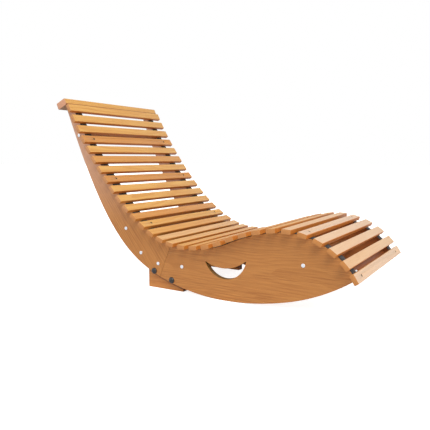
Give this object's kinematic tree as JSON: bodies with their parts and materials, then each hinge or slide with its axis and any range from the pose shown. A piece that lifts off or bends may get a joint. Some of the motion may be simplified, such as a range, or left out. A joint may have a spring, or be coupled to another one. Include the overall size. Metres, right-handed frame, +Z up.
{
  "type": "rocking chaise lounge",
  "caption": "S-shaped slatted wooden lounger on two solid sides with a round runner edge, crescent handle holes and stop blocks under the hips.",
  "frame": {"origin": "on the floor, under the middle of the outline in plan", "axes": "+X towards the sitter's feet, +Y to the sitter's left, +Z up; the lounger rests on its runners and its stop blocks"},
  "size_m": [1.2944, 0.6, 0.7614],
  "materials": {
    "slat_wood": "oiled golden-orange softwood with fine straight grain",
    "pale_slat_wood": "oiled pale softwood with fine straight grain",
    "side_wood": "oiled orange-brown board with long horizontal grain",
    "rail_wood": "oiled brown softwood",
    "webbing": "black woven webbing",
    "zinc_steel": "bright zinc",
    "black_steel": "glossy black"
  },
  "bodies": {
    "root": {"slat_01": "slat_wood", "slat_02": "slat_wood", "slat_03": "slat_wood", "slat_04": "slat_wood", "slat_05": "slat_wood", "slat_06": "slat_wood", "slat_07": "slat_wood", "slat_08": "slat_wood", "slat_09": "slat_wood", "slat_10": "slat_wood", "slat_11": "slat_wood", "slat_12": "slat_wood", "slat_13": "slat_wood", "slat_14": "slat_wood", "slat_15": "slat_wood", "slat_16": "slat_wood", "slat_17": "slat_wood", "slat_18": "slat_wood", "slat_19": "slat_wood", "slat_20": "slat_wood", "slat_21": "slat_wood", "slat_22": "slat_wood", "slat_23": "slat_wood", "slat_24": "slat_wood", "slat_25": "slat_wood", "slat_26": "pale_slat_wood", "slat_27": "pale_slat_wood", "slat_28": "pale_slat_wood", "slat_29": "pale_slat_wood", "slat_30": "pale_slat_wood", "head_rail": "slat_wood", "cross_rail_head": "rail_wood", "cross_rail_loin": "rail_wood", "cross_rail_hip": "rail_wood", "cross_rail_foot": "rail_wood", "joint_board": "rail_wood", "back_side_right": "side_wood", "rocker_side_right": "side_wood", "stop_block_right": "side_wood", "strap_right": "webbing", "connecting_bolt_right_1": "zinc_steel", "connecting_bolt_right_2": "zinc_steel", "connecting_bolt_right_3": "zinc_steel", "connecting_bolt_right_4": "zinc_steel", "connecting_bolt_right_5": "zinc_steel", "connecting_bolt_right_6": "zinc_steel", "stop_bolt_right_1": "black_steel", "stop_bolt_right_2": "black_steel", "back_side_left": "side_wood", "rocker_side_left": "side_wood", "stop_block_left": "side_wood", "strap_left": "webbing", "connecting_bolt_left_1": "zinc_steel", "connecting_bolt_left_2": "zinc_steel", "connecting_bolt_left_3": "zinc_steel", "connecting_bolt_left_4": "zinc_steel", "connecting_bolt_left_5": "zinc_steel", "connecting_bolt_left_6": "zinc_steel", "stop_bolt_left_1": "black_steel", "stop_bolt_left_2": "black_steel"}
  },
  "joints": []
}
